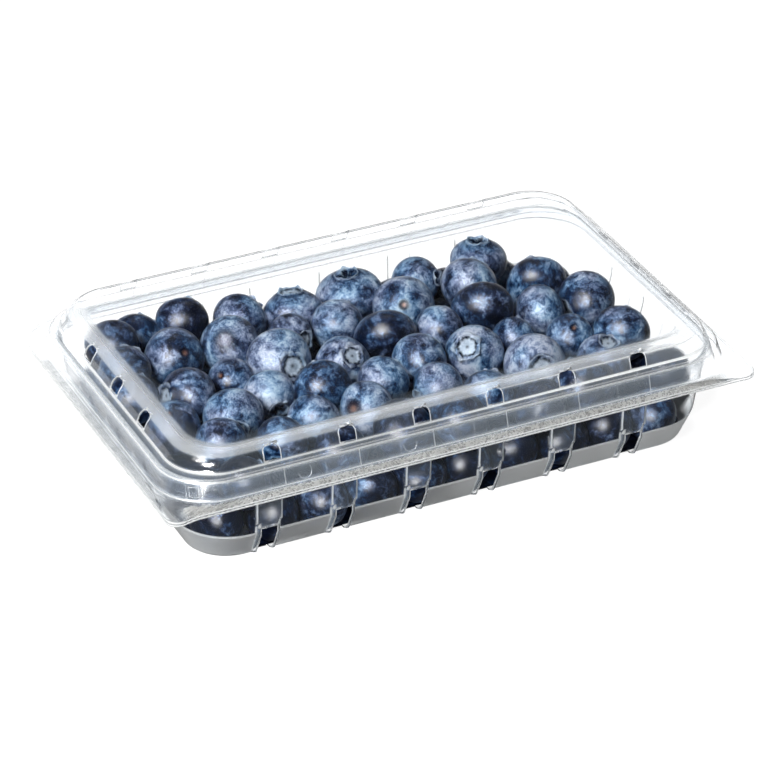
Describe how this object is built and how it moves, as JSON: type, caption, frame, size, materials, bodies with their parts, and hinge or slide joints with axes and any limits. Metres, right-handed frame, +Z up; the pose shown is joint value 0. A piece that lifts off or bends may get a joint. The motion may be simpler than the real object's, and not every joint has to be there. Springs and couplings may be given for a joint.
{
  "type": "punnet of blueberries",
  "caption": "Shut clear clamshell punnet with a ribbed, vented tray, a domed lid on a back hinge and a heap of blueberries inside.",
  "frame": {"origin": "centre of the tray's underside, on the surface it stands on", "axes": "+X along the punnet's long side, to the right seen from the front; +Y from the front to the hinge at the back; +Z up"},
  "size_m": [0.187, 0.12, 0.0367],
  "materials": {
    "clear_tray": "clear thermoformed PET sheet, glossy",
    "clear_lid": "clear thermoformed PET sheet, glossy",
    "berry_skin": "blueberry skin with a pale waxy bloom, soft sheen"
  },
  "bodies": {
    "tray": {"tray": "clear_tray", "berries": "berry_skin"},
    "lid": {"lid": "clear_lid"}
  },
  "joints": [
    {"name": "lid_hinge", "type": "hinge", "parent": "tray", "child": "lid", "pos_m": [0, 0.0602, 0.02368], "axis": [-1, 0, 0], "range_deg": [0, 180]}
  ]
}
